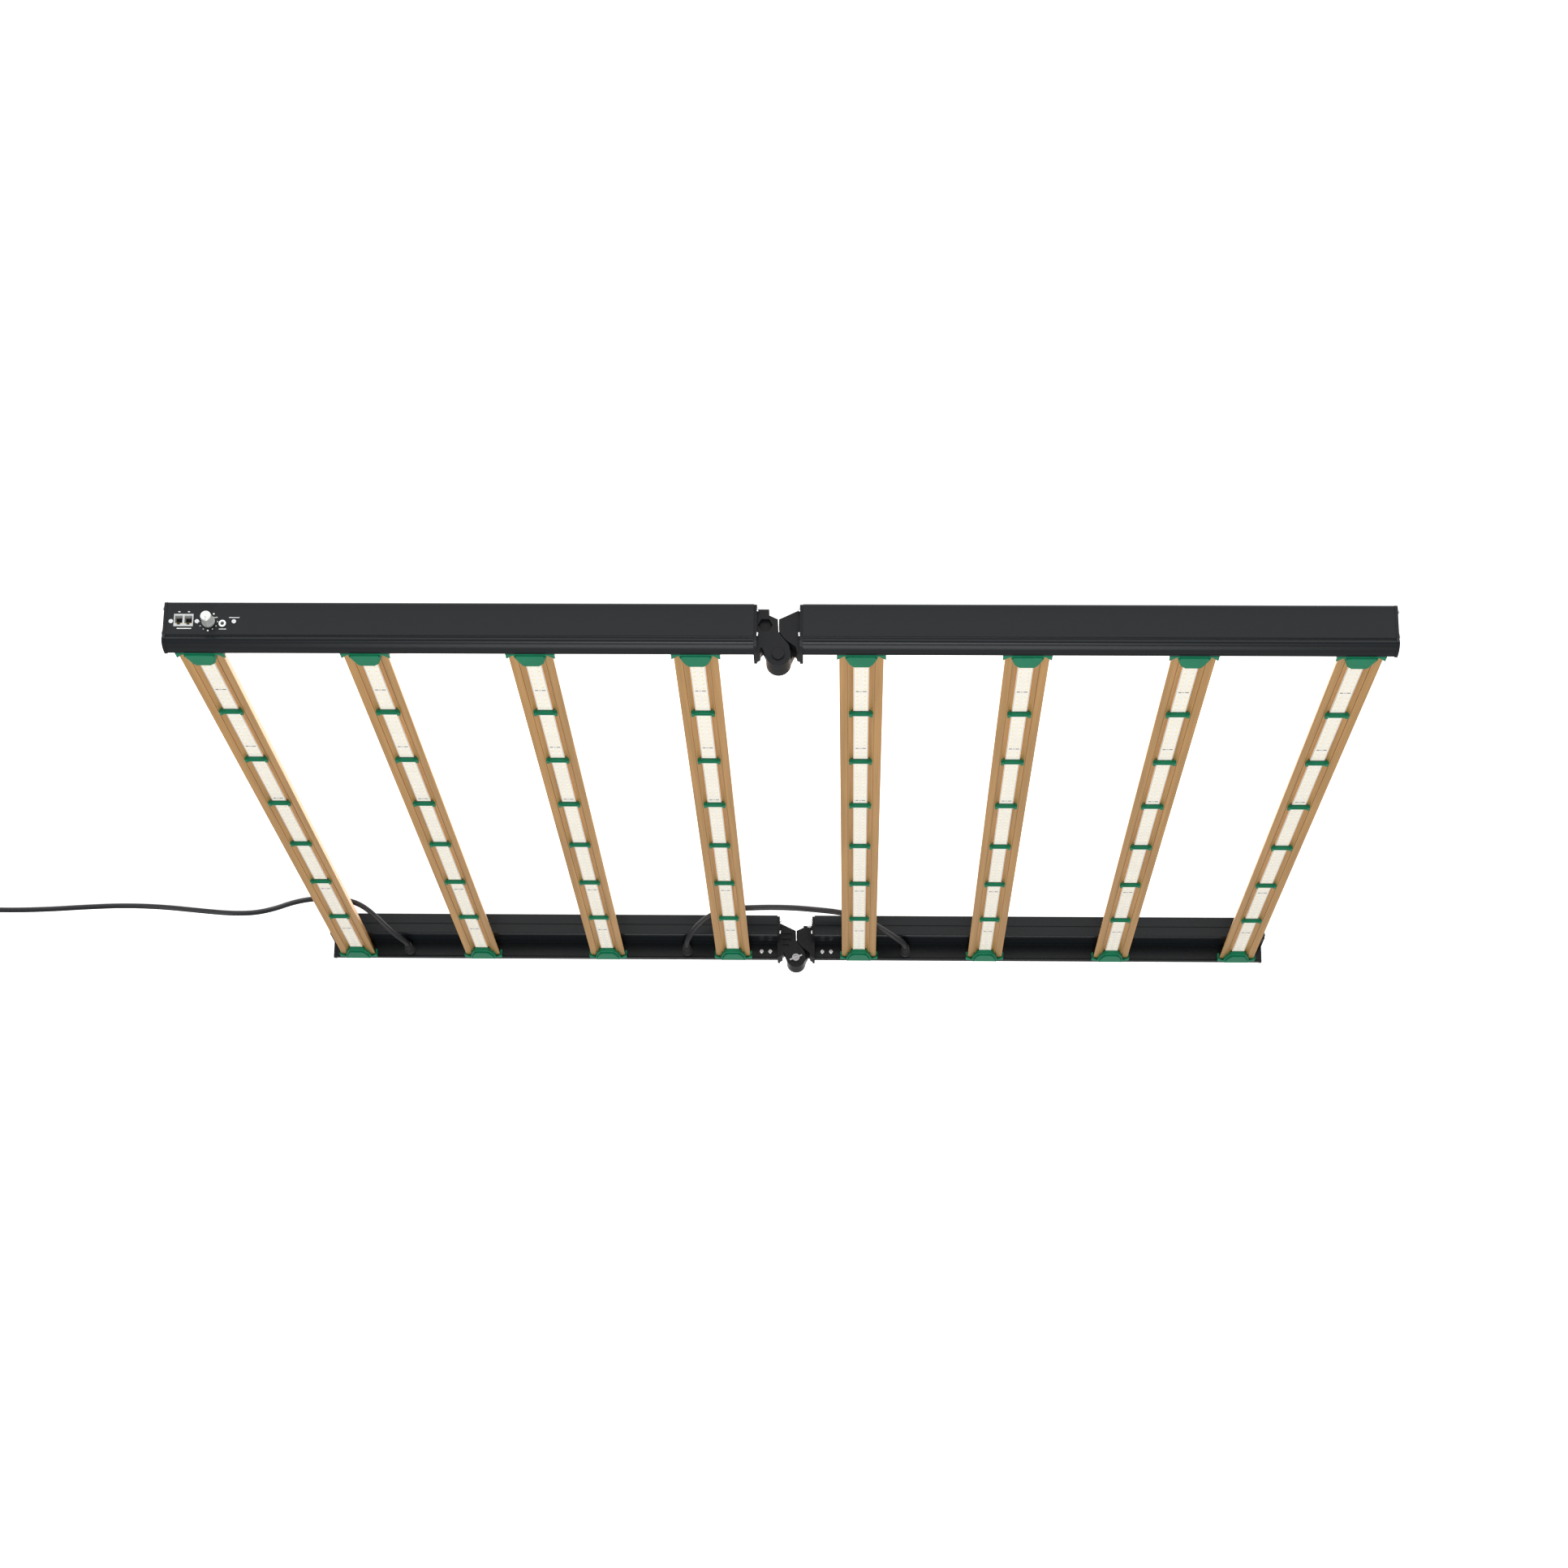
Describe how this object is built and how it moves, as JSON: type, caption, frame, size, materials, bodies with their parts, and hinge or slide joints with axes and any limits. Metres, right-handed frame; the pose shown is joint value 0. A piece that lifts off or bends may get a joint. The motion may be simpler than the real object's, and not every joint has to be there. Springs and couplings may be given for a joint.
{
  "type": "led grow light",
  "caption": "Folding LED grow light: a frame of two black rails carrying slim gold light bars with green clips, hinged in the middle, with a dimmer, signal ports and a mains lead.",
  "frame": {"origin": "on the surface the rails' backs lie on, under the middle of the light without its cords", "axes": "+X along the rails towards the half with the controls, +Y along the light bars away from the control rail, +Z the way the LEDs shine"},
  "size_m": [1.7335, 1.104, 0.062],
  "materials": {
    "rail_coat": "fine black powder coat, satin",
    "hinge_coat": "cast and black coated, satin",
    "bar_anodised": "gold-bronze anodised extrusion, satin",
    "board_white": "white solder mask with warm LED packages",
    "clip_green": "moulded green plastic",
    "pivot_steel": "plated steel",
    "screw_steel": "plated pan-head screws",
    "driver_shell": "board and parts of the power supply",
    "insert_brass": "turned brass",
    "gland_rubber": "moulded black rubber",
    "cord_jacket": "black cable jacket",
    "tie_strap": "black hook-and-loop strap",
    "plug_body": "moulded black plug",
    "pin_brass": "brass blades",
    "socket_shell": "pale grey moulded port shell",
    "knob_silver": "pale silver fluted knob",
    "shaft_steel": "turned shaft",
    "control_parts": "circuit board and its parts",
    "jack_metal": "plated ring"
  },
  "bodies": {
    "main_half": {"front_rail_main": "rail_coat", "rear_rail_main": "rail_coat", "front_end_plate_main": "rail_coat", "rear_end_plate_main": "rail_coat", "end_plate_screws_main": "screw_steel", "front_knuckle_main": "hinge_coat", "rear_knuckle_main": "hinge_coat", "hinge_screws_main": "screw_steel", "board_clips_main": "clip_green", "bar_end_caps_main": "clip_green", "bar_screws_main": "screw_steel", "driver_main": "driver_shell", "hanging_inserts_main": "insert_brass", "jumper_gland_main": "gland_rubber", "light_bar_1": "bar_anodised", "light_bar_2": "bar_anodised", "light_bar_3": "bar_anodised", "light_bar_4": "bar_anodised", "led_board_1": "board_white", "led_board_2": "board_white", "led_board_3": "board_white", "led_board_4": "board_white", "pivot_bolts": "pivot_steel", "pivot_nuts": "hinge_coat", "signal_sockets": "socket_shell", "dimmer_body": "control_parts", "sensor_jack": "jack_metal", "control_board": "control_parts", "panel_screws": "screw_steel", "mains_gland": "gland_rubber", "jumper_cable": "cord_jacket", "mains_cable": "cord_jacket", "mains_coil": "cord_jacket", "coil_tie": "tie_strap", "mains_plug": "plug_body", "plug_pins": "pin_brass"},
    "fold_half": {"front_rail_fold": "rail_coat", "rear_rail_fold": "rail_coat", "front_end_plate_fold": "rail_coat", "rear_end_plate_fold": "rail_coat", "end_plate_screws_fold": "screw_steel", "front_knuckle_fold": "hinge_coat", "rear_knuckle_fold": "hinge_coat", "hinge_screws_fold": "screw_steel", "board_clips_fold": "clip_green", "bar_end_caps_fold": "clip_green", "bar_screws_fold": "screw_steel", "driver_fold": "driver_shell", "hanging_inserts_fold": "insert_brass", "jumper_gland_fold": "gland_rubber", "light_bar_5": "bar_anodised", "light_bar_6": "bar_anodised", "light_bar_7": "bar_anodised", "light_bar_8": "bar_anodised", "led_board_5": "board_white", "led_board_6": "board_white", "led_board_7": "board_white", "led_board_8": "board_white"},
    "dimmer": {"dimmer_knob": "knob_silver", "dimmer_shaft": "shaft_steel"}
  },
  "joints": [
    {"name": "fold", "type": "hinge", "parent": "main_half", "child": "fold_half", "pos_m": [0, 0, 0.05], "axis": [0, 1, 0], "range_deg": [0, 180], "deforming": ["jumper_cable"]},
    {"name": "dimmer_turn", "type": "hinge", "parent": "main_half", "child": "dimmer", "pos_m": [0.5445, -0.53855, 0.021], "axis": [0, -1, 0], "range_deg": [0, 300]}
  ]
}
